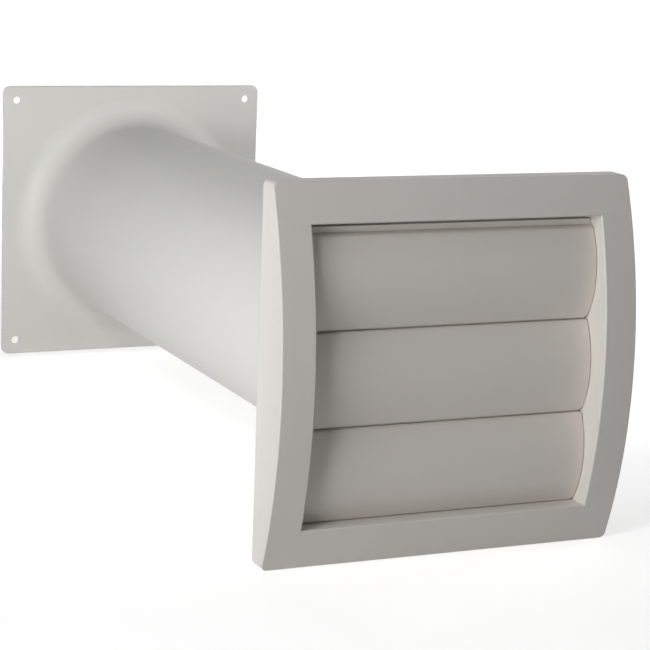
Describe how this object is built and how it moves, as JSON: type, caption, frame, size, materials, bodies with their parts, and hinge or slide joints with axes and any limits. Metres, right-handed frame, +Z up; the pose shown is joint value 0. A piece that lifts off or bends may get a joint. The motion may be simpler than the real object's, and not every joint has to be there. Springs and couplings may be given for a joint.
{
  "type": "louvred wall vent",
  "caption": "Through-wall vent: a square wall plate with a long round duct, and a bowed louvre frame whose curved gravity flaps swing outwards to let air out.",
  "frame": {"origin": "centre of the four screw holes on the wall plate's room face", "axes": "+Z up, +Y along the duct into the room, the louvre looks along -Y, +X to the right seen from outdoors"},
  "size_m": [0.157, 0.4148, 0.155],
  "materials": {
    "plate_plastic": "smooth satin moulding",
    "frame_plastic": "smooth satin moulding",
    "flap_plastic": "smooth satin moulding"
  },
  "bodies": {
    "duct": {"wall_plate": "plate_plastic"},
    "louvre": {"louvre_frame": "frame_plastic"},
    "top_flap": {"flap_top": "flap_plastic"},
    "middle_flap": {"flap_middle": "flap_plastic"},
    "bottom_flap": {"flap_bottom": "flap_plastic"}
  },
  "joints": [
    {"name": "louvre_slide", "type": "slide", "parent": "duct", "child": "louvre", "axis": [0, -1, 0], "range_m": [0, 0.045]},
    {"name": "top_flap_hinge", "type": "hinge", "parent": "louvre", "child": "top_flap", "pos_m": [0, -0.39805, 0.0547], "axis": [-1, 0, 0], "range_deg": [0, 75]},
    {"name": "middle_flap_hinge", "type": "hinge", "parent": "louvre", "child": "middle_flap", "pos_m": [0, -0.39805, 0.0154], "axis": [-1, 0, 0], "range_deg": [0, 75]},
    {"name": "bottom_flap_hinge", "type": "hinge", "parent": "louvre", "child": "bottom_flap", "pos_m": [0, -0.39805, -0.0239], "axis": [-1, 0, 0], "range_deg": [0, 75]}
  ]
}
